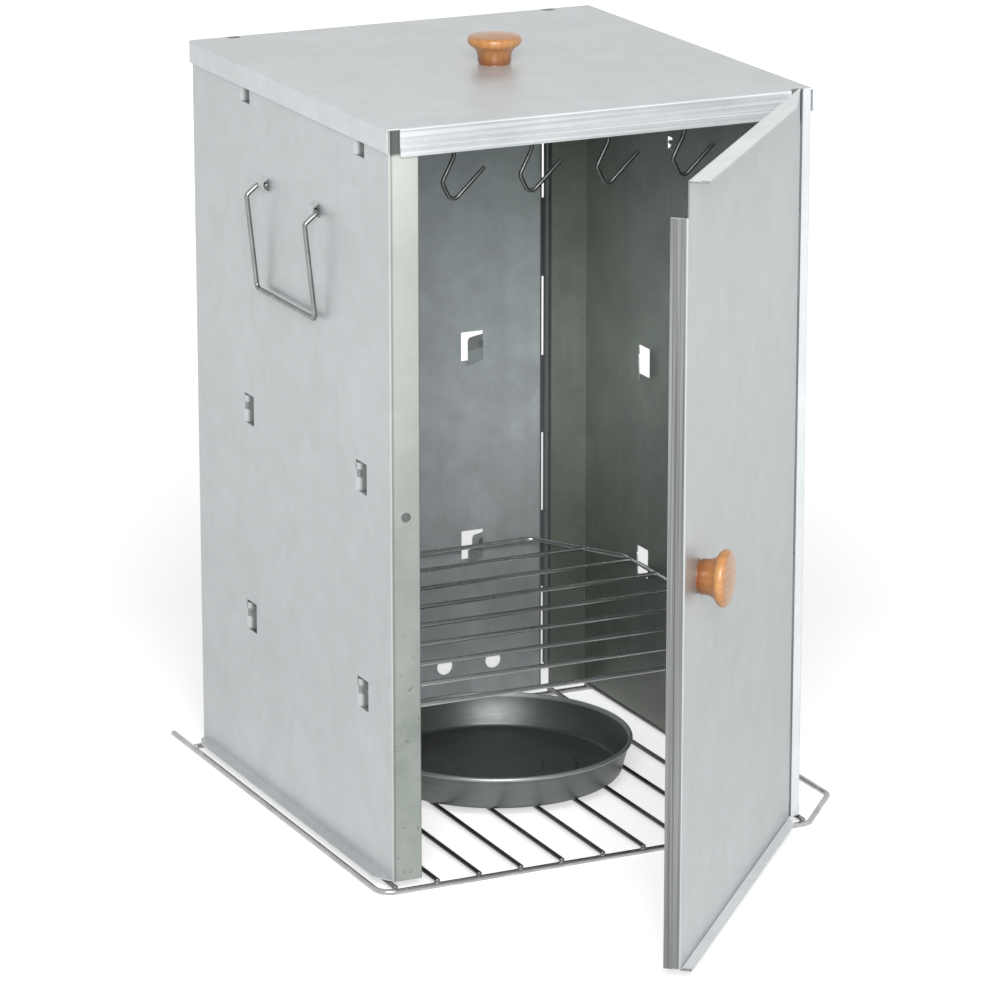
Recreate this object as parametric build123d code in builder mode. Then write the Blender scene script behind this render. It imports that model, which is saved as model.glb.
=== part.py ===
from build123d import *
from math import atan2, cos, radians, sin, tan
import os

# Folding smoker: a sheet steel housing of three hinged walls, a door and a
# lift-off lid, standing on a wire rack. Millimetres, +Z up, the door side
# faces -Y. The origin is on the floor, under the centre of the housing.

# Housing
housing_width = 274.0
housing_depth = 296.0
wall_height = 453.7
sheet = 0.8
inner_bend = 0.4
flange_width = 7.3
flange_taper = 12.0
seat_gap = 0.3

# Front post on the left wall, with a round hole in its face
post_width = 19.0
post_lip = 4.5
post_hole_diameter = 6.0
post_hole_height = 224.0

# Rolled hinges: the edge of each sheet is cut into tongues that roll round a pin
pin_diameter = 3.0
pin_clearance = 0.05
knuckle_gap = 0.4
hinge_setback = 3.0
hinge_knuckles = 8
roll_opening = 0.5
pin_end = 1.0
left_hinge_inset = 27.0
right_hinge_inset = 30.0
back_knuckle = 52.5
back_hinge_bottom = 17.0
door_hinge_inset = 10.0
door_knuckle = 53.3
door_hinge_bottom = 10.1

# Lanced slots whose tongues, bent inwards, carry the shelf and the hanging rods
slot_width = 15.5
slot_height = 19.0
tongue_height = 8.0
tongue_shoulder = 5.0
shoulder_length = 5.0
tongue_angle = 27.0
lower_slots = 95.5
middle_slots = 229.2
upper_slots = 431.0
front_column = -106.0
rear_column = 64.0
back_column = 54.0

# Air holes in the back wall
vent_diameter = 11.0
vent_height = 23.5
inner_vent = 34.0
outer_vent = 69.0

# Door, drawn open at its rest angle
door_angle = 48.0
door_side_gap = 3.0
door_height = 455.7
door_bottom_gap = 0.8
door_corner_cut = 5.0
door_corner_drop = 22.0
edge_flange = 10.0
edge_flange_top = 20.5
edge_flange_bottom = 1.0
top_flange = 11.5
bottom_flange = 6.0
top_taper = 58.0
bottom_taper = 8.0
flange_hem = 5.0

# Lid
lid_gap = 0.2
lid_side_clearance = 0.7
side_lip = 14.0
front_lip = 16.5
left_lip_notch = 8.0
right_lip_notch = 11.4
hem_height = 5.2

# Turned knobs, with a stud and a nut each
knob_diameter = 33.0
knob_base_diameter = 20.5
knob_neck_diameter = 20.8
knob_height = 18.6
knob_foot = 1.2
knob_neck_height = 6.0
knob_cap_base = 11.5
knob_shoulder = 17.0
knob_edge = 1.3
door_knob_inset = 33.8
door_knob_height = 224.2
stud_diameter = 4.0
stud_depth = 12.0
stud_hole_clearance = 0.2
nut_width = 7.0
nut_height = 2.4
stud_end = 2.0

# Wire shelf
shelf_wire = 3.0
shelf_side_gap = 2.7
shelf_front_gap = 4.9
shelf_rear_gap = 0.7
shelf_corner = 9.0
shelf_cut_width = 38.0
shelf_cut_depth = 62.0
shelf_bar_count = 7

# Hanging rods and hooks
rod_diameter = 3.0
rod_end_gap = 3.2
hook_wire = 2.5
hook_bend = 4.0
hook_loop_bend = 2.6
hook_loop_clearance = 0.3
hook_loop_tail = 4.0
hook_length = 41.0
hook_heel = 2.2
hook_belly = 7.6
hook_belly_height = 10.5
hook_shank_height = 25.0
hook_reach = 20.0
hook_tip_height = 17.6
hook_positions = (-77.0, -26.7, 23.6, 73.9)

# Carrying handles in bridge lugs on the side walls
handle_wire = 3.0
handle_length = 88.0
handle_centre = -6.5
handle_height = 387.0
handle_drop = 65.0
handle_bend = 3.5
handle_stand_off = 10.7
handle_shoulder = 7.0
handle_wall_gap = 3.0
handle_tail = 11.0
lug_width = 7.0
lug_gap = 1.0
lug_play = 0.2
lug_foot = 4.8
lug_shoulder = 2.2

# Wire rack under the housing
rack_wire = 3.5
rack_bar_wire = 3.0
rack_bar_count = 11
rack_bar_overhang = 2.0
rack_left = 9.0
rack_front = 3.0
rack_rear = 2.0
rack_right = 5.0
rack_grip = 41.5
rack_grip_slant = 41.0
rack_tail = 32.0
rack_corner = 10.0
rack_slant_corner = 8.0

# Drip pan
pan_radius = 86.0
pan_base_radius = 79.0
pan_height = 21.0
pan_sheet = 1.0
pan_rim = 3.0
pan_disc_radius = 50.0
pan_disc_rise = 1.5
pan_corner = 4.0
pan_x = 7.0
pan_y = 12.0

# Derived places
half_width = housing_width / 2
half_depth = housing_depth / 2
wall_base = rack_wire + rack_bar_wire + seat_gap
wall_top = wall_base + wall_height
bend_radius = sheet + inner_bend
bore_radius = pin_diameter / 2 + pin_clearance
knuckle_radius = bore_radius + sheet
back_axis_y = half_depth - knuckle_radius
left_axis_x = -half_width + left_hinge_inset
right_axis_x = half_width - right_hinge_inset
door_axis_x = half_width - door_hinge_inset
door_axis_y = -half_depth + sheet - knuckle_radius
tongue_slope = radians(tongue_angle)

# The door's own frame: x runs from the hinge axis to the free edge, y out of
# the door's front, z up.
door_frame = Plane(
    origin=(door_axis_x, door_axis_y, 0),
    x_dir=(-cos(radians(door_angle)), -sin(radians(door_angle)), 0),
    z_dir=(0, 0, 1),
)
door_width = door_axis_x + half_width + door_side_gap + sheet
door_knob_reach = door_width - door_knob_inset


# Section of one rolled knuckle round the origin, its leaf running towards +X
with BuildSketch() as knuckle:
    Circle(knuckle_radius)
    Circle(bore_radius, mode=Mode.SUBTRACT)
    with Locations((knuckle_radius, bore_radius - roll_opening)):
        Rectangle(2 * knuckle_radius, roll_opening, align=(Align.CENTER, Align.MIN), mode=Mode.SUBTRACT)
    with Locations((0, bore_radius)):
        Rectangle(hinge_setback + sheet, sheet, align=(Align.MIN, Align.MIN))

with BuildSketch() as mirrored_knuckle:
    add(knuckle.sketch.mirror(Plane.YZ))


def roll_knuckles(frame, section, bottom, pitch, first):
    """Add every second knuckle of a hinge to the sheet that is being built."""
    for number in range(first, hinge_knuckles, 2):
        with BuildSketch(frame.offset(wall_base + bottom + number * pitch + knuckle_gap / 2)) as ring:
            add(section.sketch)
        extrude(ring.sketch, amount=pitch - knuckle_gap)


def tongue_section(root, along, inward, length):
    """Section of a lanced tongue: its root is at the slot's edge, on the wall's outer face."""
    root = Vector(*root)
    along = Vector(*along)
    inward = Vector(*inward)
    tip = root + along * (length * cos(tongue_slope)) + inward * (length * sin(tongue_slope))
    face_normal = inward * cos(tongue_slope) - along * sin(tongue_slope)
    inner_root = root + inward * sheet - along * (sheet * tan(tongue_slope / 2))
    with BuildSketch() as section:
        with BuildLine():
            Polyline(
                root - along * sheet,
                root,
                tip,
                tip + face_normal * sheet,
                inner_root,
                root - along * sheet + inward * sheet,
                close=True,
            )
        make_face()
    return section.sketch


def add_tongues(root, along, inward, heights):
    """Stand a tongue in each slot, with a taller shoulder by its root that keeps the wire in place."""
    for height in heights:
        for length, rise in (
            (slot_width, tongue_height),
            (shoulder_length, tongue_height + tongue_shoulder),
        ):
            with BuildSketch(Plane.XY.offset(wall_base + height)) as foot:
                add(tongue_section(root, along, inward, length))
            extrude(foot.sketch, amount=rise)


def cut_slots(plane, places):
    """Cut the slots through the wall that lies on the plane."""
    with BuildSketch(plane) as slots:
        with Locations(*places):
            Rectangle(slot_width, slot_height, align=(Align.CENTER, Align.MIN))
    extrude(slots.sketch, amount=2 * sheet, both=True, mode=Mode.SUBTRACT)


def add_lugs(side):
    """Press two bridge lugs out of a side wall for the ends of the handle wire."""
    wall_x = side * half_width
    inside_x = side * (half_width - sheet)
    strap_x = side * (half_width + handle_wire + 2 * lug_play)
    strap_back_x = strap_x + side * sheet
    for lug_y in lug_places:
        lug_plane = Plane.XZ.offset(-lug_y - lug_width / 2)
        with BuildSketch(lug_plane) as strap:
            with BuildLine():
                Polyline(
                    (inside_x, handle_pivot_z + lug_foot),
                    (wall_x, handle_pivot_z + lug_foot),
                    (strap_back_x, handle_pivot_z + lug_shoulder),
                    (strap_back_x, handle_pivot_z - lug_shoulder),
                    (wall_x, handle_pivot_z - lug_foot),
                    (inside_x, handle_pivot_z - lug_foot),
                    close=True,
                )
            make_face()
        extrude(strap.sketch, amount=lug_width)
        with BuildSketch(lug_plane) as window:
            with BuildLine():
                Polyline(
                    (inside_x, handle_pivot_z + lug_foot - sheet),
                    (wall_x, handle_pivot_z + lug_foot - sheet),
                    (strap_x, handle_pivot_z + lug_shoulder - sheet / 2),
                    (strap_x, handle_pivot_z - lug_shoulder + sheet / 2),
                    (wall_x, handle_pivot_z - lug_foot + sheet),
                    (inside_x, handle_pivot_z - lug_foot + sheet),
                    close=True,
                )
            make_face()
        extrude(window.sketch, amount=lug_width, mode=Mode.SUBTRACT)


def add_bottom_flange(start, end, outward):
    """Bend a flange with tapered ends outwards at the foot of a wall."""
    start = Vector(*start)
    end = Vector(*end)
    outward = Vector(*outward)
    along = (end - start).normalized()
    with BuildSketch(Plane.XY.offset(wall_base)) as flange:
        with BuildLine():
            Polyline(
                start - outward * sheet,
                start,
                start + along * flange_taper + outward * flange_width,
                end - along * flange_taper + outward * flange_width,
                end,
                end - outward * sheet,
                close=True,
            )
        make_face()
    extrude(flange.sketch, amount=sheet)


def bent_sheet(points, side):
    """Section of a bent sheet whose outer face follows the points."""
    with BuildSketch() as section:
        with BuildLine():
            FilletPolyline(*points, radius=bend_radius)
            offset(amount=sheet, side=side)
        make_face()
    return section.sketch


slot_heights = (lower_slots, middle_slots, upper_slots)
side_columns = (front_column, rear_column)
side_slots = [(column, wall_base + height) for column in side_columns for height in slot_heights]
back_slots = [
    (column, wall_base + height)
    for column in (-back_column, back_column)
    for height in slot_heights[:2]
]

vents = [
    (x, wall_base + vent_height)
    for x in (-outer_vent, -inner_vent, inner_vent, outer_vent)
]

handle_pivot_z = wall_base + handle_height
handle_rear_y = handle_centre + handle_length / 2
handle_front_y = handle_centre - handle_length / 2
lug_step = handle_wire / 2 + lug_gap + lug_width / 2
lug_places = (handle_rear_y - lug_step, handle_front_y + lug_step)

left_frame = Plane(origin=(left_axis_x, back_axis_y, 0))
right_frame = Plane(origin=(right_axis_x, back_axis_y, 0))
front_frame = Plane(origin=(door_axis_x, door_axis_y, 0))

# Left wall, with the front post and the flange of the left back hinge
with BuildPart() as left_wall:
    with BuildSketch(Plane.XY.offset(wall_base)):
        add(
            bent_sheet(
                (
                    (-half_width + post_width, -half_depth + post_lip),
                    (-half_width + post_width, -half_depth),
                    (-half_width, -half_depth),
                    (-half_width, half_depth),
                    (left_axis_x - hinge_setback, half_depth),
                ),
                Side.RIGHT,
            )
        )
    extrude(amount=wall_height)
    add_bottom_flange(
        (-half_width, -half_depth + bend_radius),
        (-half_width, half_depth - bend_radius),
        (-1, 0),
    )
    roll_knuckles(left_frame, mirrored_knuckle, back_hinge_bottom, back_knuckle, 0)
    cut_slots(Plane.YZ.offset(-half_width), side_slots)
    for column in side_columns:
        add_tongues((-half_width, column + slot_width / 2), (0, -1), (1, 0), slot_heights)
    add_lugs(-1)
    with BuildSketch(Plane.XZ.offset(half_depth)):
        with Locations((-half_width + post_width / 2, wall_base + post_hole_height)):
            Circle(post_hole_diameter / 2)
    extrude(amount=-2 * sheet, mode=Mode.SUBTRACT)

# Right wall, with the flange of the right back hinge and the door's hinge
with BuildPart() as right_wall:
    with BuildSketch(Plane.XY.offset(wall_base)):
        add(
            bent_sheet(
                (
                    (door_axis_x + hinge_setback, -half_depth),
                    (half_width, -half_depth),
                    (half_width, half_depth),
                    (right_axis_x + hinge_setback, half_depth),
                ),
                Side.LEFT,
            )
        )
    extrude(amount=wall_height)
    add_bottom_flange(
        (half_width, -half_depth + bend_radius),
        (half_width, half_depth - bend_radius),
        (1, 0),
    )
    roll_knuckles(right_frame, knuckle, back_hinge_bottom, back_knuckle, 0)
    roll_knuckles(front_frame, knuckle, door_hinge_bottom, door_knuckle, 1)
    cut_slots(Plane.YZ.offset(half_width), side_slots)
    for column in side_columns:
        add_tongues((half_width, column + slot_width / 2), (0, -1), (-1, 0), slot_heights)
    add_lugs(1)

# Back wall between the two back hinges
with BuildPart() as back_wall:
    with BuildSketch(Plane.XY.offset(wall_base)):
        with BuildLine():
            Polyline(
                (left_axis_x + hinge_setback, half_depth),
                (right_axis_x - hinge_setback, half_depth),
                (right_axis_x - hinge_setback, half_depth - sheet),
                (left_axis_x + hinge_setback, half_depth - sheet),
                close=True,
            )
        make_face()
    extrude(amount=wall_height)
    add_bottom_flange(
        (left_axis_x + hinge_setback, half_depth),
        (right_axis_x - hinge_setback, half_depth),
        (0, 1),
    )
    roll_knuckles(left_frame, knuckle, back_hinge_bottom, back_knuckle, 1)
    roll_knuckles(right_frame, mirrored_knuckle, back_hinge_bottom, back_knuckle, 1)
    cut_slots(Plane.XZ.offset(-half_depth), back_slots)
    for column in (-back_column, back_column):
        add_tongues((column + slot_width / 2, half_depth), (-1, 0), (0, -1), slot_heights[:2])
    with BuildSketch(Plane.XZ.offset(-half_depth)):
        with Locations(*vents):
            Circle(vent_diameter / 2)
    extrude(amount=2 * sheet, both=True, mode=Mode.SUBTRACT)


with BuildPart() as left_hinge_pin:
    with BuildSketch(left_frame.offset(wall_base + back_hinge_bottom - pin_end)):
        Circle(pin_diameter / 2)
    extrude(amount=hinge_knuckles * back_knuckle + 2 * pin_end)

with BuildPart() as right_hinge_pin:
    with BuildSketch(right_frame.offset(wall_base + back_hinge_bottom - pin_end)):
        Circle(pin_diameter / 2)
    extrude(amount=hinge_knuckles * back_knuckle + 2 * pin_end)

with BuildPart() as door_hinge_pin:
    with BuildSketch(front_frame.offset(wall_base + door_hinge_bottom - pin_end)):
        Circle(pin_diameter / 2)
    extrude(amount=hinge_knuckles * door_knuckle + 2 * pin_end)

# Door: a panel with its free edge bent inwards and its top and bottom bent outwards
door_base = wall_base + door_bottom_gap
door_top = door_base + door_height
door_section_frame = Plane(origin=door_frame.origin, x_dir=door_frame.y_dir, z_dir=door_frame.x_dir)
door_knob_point = door_frame.from_local_coords(
    Vector(door_knob_reach, knuckle_radius, wall_base + door_knob_height)
)
door_knob_frame = Plane(origin=door_knob_point, x_dir=door_frame.x_dir, z_dir=(0, 0, 1))
stud_hole = stud_diameter + 2 * stud_hole_clearance

with BuildPart() as door_panel:
    with BuildSketch(door_frame.offset(door_base)):
        with Locations((hinge_setback, bore_radius)):
            Rectangle(
                door_width - bend_radius - hinge_setback, sheet, align=(Align.MIN, Align.MIN)
            )
    extrude(amount=door_height)
    with BuildSketch(door_frame.offset(door_base + edge_flange_bottom)):
        add(
            bent_sheet(
                (
                    (door_width / 2, knuckle_radius),
                    (door_width, knuckle_radius),
                    (door_width, knuckle_radius - edge_flange),
                ),
                Side.RIGHT,
            )
        )
    extrude(amount=door_height - edge_flange_bottom - edge_flange_top)
    with BuildSketch(door_section_frame.offset(door_corner_cut)):
        add(
            bent_sheet(
                (
                    (bore_radius, door_top - top_flange),
                    (bore_radius, door_top),
                    (knuckle_radius + top_flange, door_top),
                ),
                Side.RIGHT,
            )
        )
        add(
            bent_sheet(
                (
                    (bore_radius, door_base + bottom_flange),
                    (bore_radius, door_base),
                    (knuckle_radius + bottom_flange, door_base),
                ),
                Side.LEFT,
            )
        )
        for outer_edge, hem_base in (
            (knuckle_radius + top_flange, door_top),
            (knuckle_radius + bottom_flange, door_base + sheet),
        ):
            with Locations((outer_edge, hem_base)):
                Rectangle(flange_hem, sheet, align=(Align.MAX, Align.MIN))
    extrude(amount=door_width - bend_radius - door_corner_cut)
    with BuildSketch(door_frame.offset(door_base + edge_flange_bottom)):
        with Locations((door_width, knuckle_radius - edge_flange)):
            Rectangle(sheet, flange_hem, align=(Align.MIN, Align.MIN))
    extrude(amount=door_height - edge_flange_bottom - edge_flange_top)
    roll_knuckles(door_frame, knuckle, door_hinge_bottom, door_knuckle, 0)
    with BuildSketch(door_frame.offset(door_top - door_corner_drop)):
        Rectangle(2 * door_corner_cut, 4 * knuckle_radius)
    extrude(amount=door_corner_drop, mode=Mode.SUBTRACT)
    for flange, taper, height in (
        (top_flange, top_taper, door_top - sheet),
        (bottom_flange, bottom_taper, door_base),
    ):
        with BuildSketch(door_frame.offset(height)):
            with BuildLine():
                Polyline(
                    (0, knuckle_radius),
                    (door_corner_cut, knuckle_radius),
                    (door_corner_cut + taper, knuckle_radius + flange),
                    (0, knuckle_radius + flange),
                    close=True,
                )
            make_face()
        extrude(amount=2 * sheet, mode=Mode.SUBTRACT)
    with BuildSketch(Plane(origin=door_knob_point, z_dir=door_frame.y_dir)):
        Circle(stud_hole / 2)
    extrude(amount=2 * sheet, both=True, mode=Mode.SUBTRACT)

# Lid: a shallow tray turned over the walls, open at its corners
lid_base = wall_top + lid_gap
lid_top = lid_base + sheet
lid_half_width = half_width + lid_side_clearance + sheet
lid_half_depth = half_depth + lid_side_clearance + sheet
lip_left = -lid_half_width + left_lip_notch
lip_right = lid_half_width - right_lip_notch

with BuildPart() as lid_panel:
    with BuildSketch(Plane.XZ.offset(-(lid_half_depth - bend_radius))):
        add(
            bent_sheet(
                (
                    (-lid_half_width, lid_top - side_lip),
                    (-lid_half_width, lid_top),
                    (lid_half_width, lid_top),
                    (lid_half_width, lid_top - side_lip),
                ),
                Side.RIGHT,
            )
        )
    extrude(amount=2 * (lid_half_depth - bend_radius))
    with BuildSketch(Plane.YZ.offset(lip_left)):
        for side, turn in ((-1, Side.RIGHT), (1, Side.LEFT)):
            add(
                bent_sheet(
                    (
                        (side * lid_half_depth, lid_top - front_lip),
                        (side * lid_half_depth, lid_top),
                        (side * (lid_half_depth - front_lip), lid_top),
                    ),
                    turn,
                )
            )
        with Locations((-lid_half_depth, lid_top - front_lip)):
            Rectangle(sheet, hem_height, align=(Align.MAX, Align.MIN))
    extrude(amount=lip_right - lip_left)
    with BuildSketch(Plane.XY.offset(lid_base)):
        Circle(stud_hole / 2)
    extrude(amount=sheet, mode=Mode.SUBTRACT)

# Half section of a turned knob: radius along X, height along Y
knob_radius = knob_diameter / 2
knob_base_radius = knob_base_diameter / 2
knob_neck_radius = knob_neck_diameter / 2
stud_bore_radius = stud_diameter / 2 + pin_clearance

with BuildSketch() as knob_section:
    with BuildLine():
        Polyline((0, knob_height), (0, 0), (knob_base_radius, 0), (knob_base_radius, knob_foot))
        ThreePointArc(
            (knob_base_radius, knob_foot),
            (knob_neck_radius, knob_neck_height),
            (knob_radius - knob_edge, knob_cap_base),
        )
        ThreePointArc(
            (knob_radius - knob_edge, knob_cap_base),
            (knob_radius, (knob_cap_base + knob_shoulder) / 2),
            (knob_radius - knob_edge, knob_shoulder),
        )
        TangentArc((0, knob_height), (knob_radius - knob_edge, knob_shoulder), tangent=(1, 0))
    make_face()
    Rectangle(stud_bore_radius, stud_depth, align=(Align.MIN, Align.MIN), mode=Mode.SUBTRACT)

lid_knob_frame = Plane(origin=(0, 0, lid_top), x_dir=(1, 0, 0), z_dir=(0, -1, 0))


def knob_axis(frame):
    """Axis of a knob that stands on the frame's origin."""
    return Axis(frame.origin, frame.y_dir)


with BuildPart() as lid_knob:
    with BuildSketch(lid_knob_frame):
        add(knob_section.sketch)
    revolve(axis=knob_axis(lid_knob_frame))

with BuildPart() as door_knob:
    with BuildSketch(door_knob_frame):
        add(knob_section.sketch)
    revolve(axis=knob_axis(door_knob_frame))

with BuildPart() as lid_knob_stud:
    with BuildSketch(lid_knob_frame):
        with Locations((0, -sheet - nut_height - stud_end)):
            Rectangle(
                stud_diameter / 2,
                stud_depth + sheet + nut_height + stud_end,
                align=(Align.MIN, Align.MIN),
            )
    revolve(axis=knob_axis(lid_knob_frame))

with BuildPart() as door_knob_stud:
    with BuildSketch(door_knob_frame):
        with Locations((0, -sheet - nut_height - stud_end)):
            Rectangle(
                stud_diameter / 2,
                stud_depth + sheet + nut_height + stud_end,
                align=(Align.MIN, Align.MIN),
            )
    revolve(axis=knob_axis(door_knob_frame))


def nut_plane(frame):
    """Plane of the nut's seat on the inner face of the sheet, facing away from the knob."""
    seat = frame.origin - frame.y_dir * sheet
    return Plane(origin=seat, x_dir=frame.x_dir, z_dir=-frame.y_dir)


with BuildPart() as lid_knob_nut:
    with BuildSketch(nut_plane(lid_knob_frame)):
        RegularPolygon(radius=nut_width / 2, side_count=6, major_radius=False)
        Circle(stud_bore_radius, mode=Mode.SUBTRACT)
    extrude(amount=nut_height)

with BuildPart() as door_knob_nut:
    with BuildSketch(nut_plane(door_knob_frame)):
        RegularPolygon(radius=nut_width / 2, side_count=6, major_radius=False)
        Circle(stud_bore_radius, mode=Mode.SUBTRACT)
    extrude(amount=nut_height)

# Shelf: a wire ring with cross wires butted between its sides, lying on the lower tongues
shelf_z = wall_base + lower_slots + tongue_height + seat_gap + shelf_wire / 2
shelf_half_width = half_width - sheet - shelf_side_gap - shelf_wire / 2
shelf_front = -half_depth + post_lip + shelf_front_gap - shelf_wire / 2
shelf_rear = back_axis_y - knuckle_radius - shelf_rear_gap - shelf_wire / 2
shelf_pitch = (shelf_rear - shelf_front) / (shelf_bar_count + 1)

with BuildPart() as shelf_frame:
    with BuildLine() as shelf_route:
        FilletPolyline(
            (shelf_half_width, shelf_front, shelf_z),
            (shelf_half_width, shelf_rear - shelf_cut_depth, shelf_z),
            (shelf_half_width - shelf_cut_width, shelf_rear, shelf_z),
            (-shelf_half_width + shelf_cut_width, shelf_rear, shelf_z),
            (-shelf_half_width, shelf_rear - shelf_cut_depth, shelf_z),
            (-shelf_half_width, shelf_front, shelf_z),
            radius=shelf_corner,
            close=True,
        )
    with BuildSketch(Plane(origin=shelf_route.line @ 0, z_dir=shelf_route.line % 0)):
        Circle(shelf_wire / 2)
    sweep()

cut_angle = atan2(shelf_cut_depth, shelf_cut_width)
rear_bar_inset = shelf_cut_width * (1 - shelf_pitch / shelf_cut_depth)
rear_bar_gap = (1 + cos(cut_angle)) * shelf_wire / 2 / sin(cut_angle)
rear_bar_end = shelf_half_width - rear_bar_inset - rear_bar_gap

with BuildPart() as shelf_bars:
    with BuildSketch(Plane.YZ.offset(-shelf_half_width + shelf_wire / 2)):
        with Locations(*[(shelf_front + n * shelf_pitch, shelf_z) for n in range(1, shelf_bar_count)]):
            Circle(shelf_wire / 2)
    extrude(amount=2 * shelf_half_width - shelf_wire)
    with BuildSketch(Plane.YZ.offset(-rear_bar_end)):
        with Locations((shelf_rear - shelf_pitch, shelf_z)):
            Circle(shelf_wire / 2)
    extrude(amount=2 * rear_bar_end)

# Hanging rods on the upper tongues
rod_half_length = half_width - sheet - rod_end_gap
rod_z = wall_base + upper_slots + tongue_height + seat_gap + rod_diameter / 2

with BuildPart() as front_rod:
    with BuildSketch(Plane.YZ.offset(-rod_half_length)):
        with Locations((front_column, rod_z)):
            Circle(rod_diameter / 2)
    extrude(amount=2 * rod_half_length)

with BuildPart() as rear_rod:
    with BuildSketch(Plane.YZ.offset(-rod_half_length)):
        with Locations((rear_column, rod_z)):
            Circle(rod_diameter / 2)
    extrude(amount=2 * rod_half_length)

# Hooks on the front rod
loop_reach = rod_diameter / 2 + hook_loop_clearance + hook_wire / 2
shank_y = front_column - loop_reach
hook_z = rod_z - hook_length
hooks = {}
for number, hook_x in enumerate(hook_positions, start=1):
    with BuildPart() as hook:
        with BuildLine() as hook_route:
            FilletPolyline(
                (hook_x, front_column + loop_reach, rod_z - hook_loop_tail),
                (hook_x, front_column + loop_reach, rod_z + loop_reach),
                (hook_x, shank_y, rod_z + loop_reach),
                (hook_x, shank_y, rod_z - hook_loop_tail),
                (hook_x, front_column, hook_z + hook_shank_height),
                (hook_x - hook_belly, front_column, hook_z + hook_belly_height),
                (hook_x - hook_heel / 2, front_column, hook_z - hook_heel),
                (hook_x + hook_reach, front_column, hook_z + hook_tip_height),
                radius=[hook_loop_bend] * 2 + [hook_bend] * 4,
            )
        with BuildSketch(Plane(origin=hook_route.line @ 0, z_dir=hook_route.line % 0)):
            Circle(hook_wire / 2)
        sweep()
    hooks[f"hook_{number}"] = hook


def handle_points(side):
    """Route of a handle's wire, hanging down beside the wall on the given side."""
    pivot_x = side * (half_width + lug_play + handle_wire / 2)
    shoulder_x = side * (half_width + handle_stand_off)
    bar_x = side * (half_width + handle_wall_gap + handle_wire / 2)
    shoulder_z = handle_pivot_z - handle_shoulder
    bar_z = handle_pivot_z - handle_drop
    return (
        (pivot_x, handle_rear_y - handle_tail, handle_pivot_z),
        (pivot_x, handle_rear_y, handle_pivot_z),
        (shoulder_x, handle_rear_y, shoulder_z),
        (bar_x, handle_rear_y, bar_z),
        (bar_x, handle_front_y, bar_z),
        (shoulder_x, handle_front_y, shoulder_z),
        (pivot_x, handle_front_y, handle_pivot_z),
        (pivot_x, handle_front_y + handle_tail, handle_pivot_z),
    )


with BuildPart() as left_handle:
    with BuildLine() as left_route:
        FilletPolyline(*handle_points(-1), radius=handle_bend)
    with BuildSketch(Plane(origin=left_route.line @ 0, z_dir=left_route.line % 0)):
        Circle(handle_wire / 2)
    sweep()

with BuildPart() as right_handle:
    with BuildLine() as right_route:
        FilletPolyline(*handle_points(1), radius=handle_bend)
    with BuildSketch(Plane(origin=right_route.line @ 0, z_dir=right_route.line % 0)):
        Circle(handle_wire / 2)
    sweep()

# Rack: one bent wire round the foot of the housing, with bars welded across it
ring_left = -half_width - rack_left
ring_front = -half_depth - rack_front
ring_rear = half_depth - rack_rear
ring_right = half_width + rack_right
grip_right = half_width + rack_grip
ring_z = rack_wire / 2

with BuildPart() as rack_ring:
    with BuildLine() as ring_route:
        FilletPolyline(
            (ring_left, ring_rear + rack_tail, ring_z),
            (ring_left, ring_front, ring_z),
            (ring_right, ring_front, ring_z),
            (grip_right, ring_front + rack_grip_slant, ring_z),
            (grip_right, ring_rear - rack_grip_slant, ring_z),
            (ring_right, ring_rear, ring_z),
            (0, ring_rear, ring_z),
            radius=[rack_corner] + [rack_slant_corner] * 4,
        )
    with BuildSketch(Plane(origin=ring_route.line @ 0, z_dir=ring_route.line % 0)):
        Circle(rack_wire / 2)
    sweep()
    with BuildSketch(Plane.YZ.offset(ring_left)):
        with Locations((ring_rear, ring_z)):
            Circle(rack_wire / 2)
    extrude(amount=-ring_left)

bar_half_span = half_width + sheet / 2
bar_length = ring_rear - ring_front + 2 * rack_bar_overhang

with BuildPart() as rack_bars:
    with BuildSketch(Plane.XZ.offset(-(ring_rear + rack_bar_overhang))):
        with Locations((0, rack_wire + rack_bar_wire / 2)):
            with GridLocations(2 * bar_half_span / (rack_bar_count - 1), 0, rack_bar_count, 1):
                Circle(rack_bar_wire / 2)
    extrude(amount=bar_length)

# Drip pan: a spun tray with a raised disc in its floor and a rolled rim
pan_base = wall_base

with BuildPart() as drip_pan:
    with BuildSketch(Plane(origin=(pan_x, pan_y, pan_base), x_dir=(1, 0, 0), z_dir=(0, -1, 0))):
        with BuildLine():
            FilletPolyline(
                (0, pan_disc_rise),
                (pan_disc_radius, pan_disc_rise),
                (pan_disc_radius + pan_disc_rise, 0),
                (pan_base_radius, 0),
                (pan_radius - pan_rim / 2, pan_height),
                radius=[pan_disc_rise / 2, pan_disc_rise / 2, pan_corner],
            )
            offset(amount=pan_sheet, side=Side.LEFT)
        make_face()
        with Locations((pan_radius - pan_rim / 2, pan_height)):
            Circle(pan_rim / 2)
    revolve(axis=Axis((pan_x, pan_y, pan_base), (0, 0, 1)))

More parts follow.
